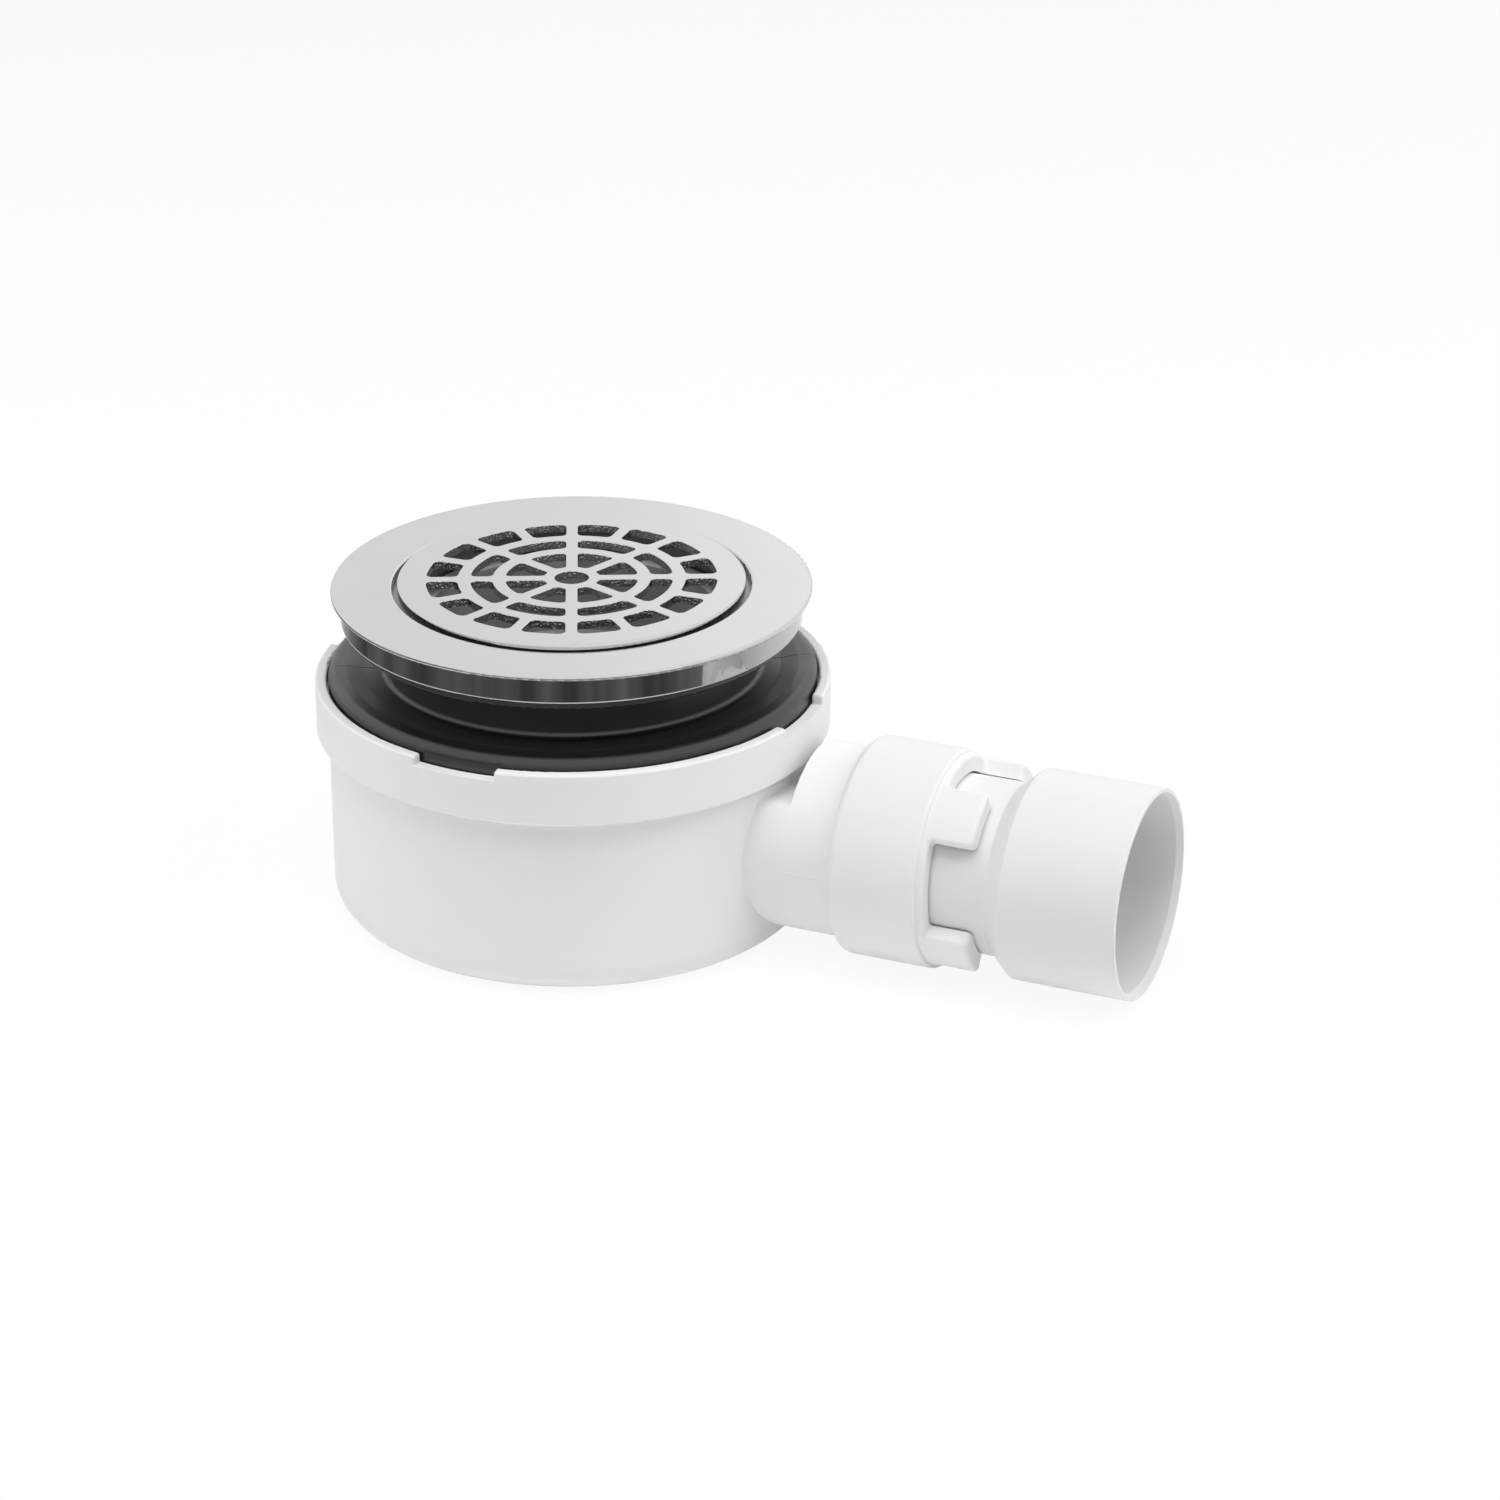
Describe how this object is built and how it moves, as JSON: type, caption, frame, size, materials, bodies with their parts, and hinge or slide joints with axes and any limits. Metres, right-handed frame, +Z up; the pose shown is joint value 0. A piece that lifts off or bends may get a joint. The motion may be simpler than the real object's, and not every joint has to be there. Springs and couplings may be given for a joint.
{
  "type": "shower trap",
  "caption": "Low shower trap: a white cup with a notched collar, a rubber tray gasket, a chromed flange with a drop-in grid, and a side outlet with a compression nut.",
  "frame": {"origin": "middle of the cup's flat base, on the body axis", "axes": "+Z up the body axis towards the grid, +X along the outlet"},
  "size_m": [0.2078, 0.123, 0.0815],
  "materials": {
    "white_plastic": "smooth moulded polypropylene with a soft gloss",
    "chrome": "polished chrome plating",
    "black_rubber": "smooth moulded rubber with a soft gloss",
    "grey_plastic": "plain moulded plastic"
  },
  "bodies": {
    "root": {"trap_cup": "white_plastic", "trap_collar": "white_plastic", "tray_gasket": "black_rubber", "flange_washer": "black_rubber", "waste_flange": "chrome", "grid": "chrome", "dip_tube": "grey_plastic", "dip_tube_seal": "black_rubber", "outlet_nut": "white_plastic", "outlet_seal": "black_rubber", "outlet_connector": "white_plastic"}
  },
  "joints": []
}
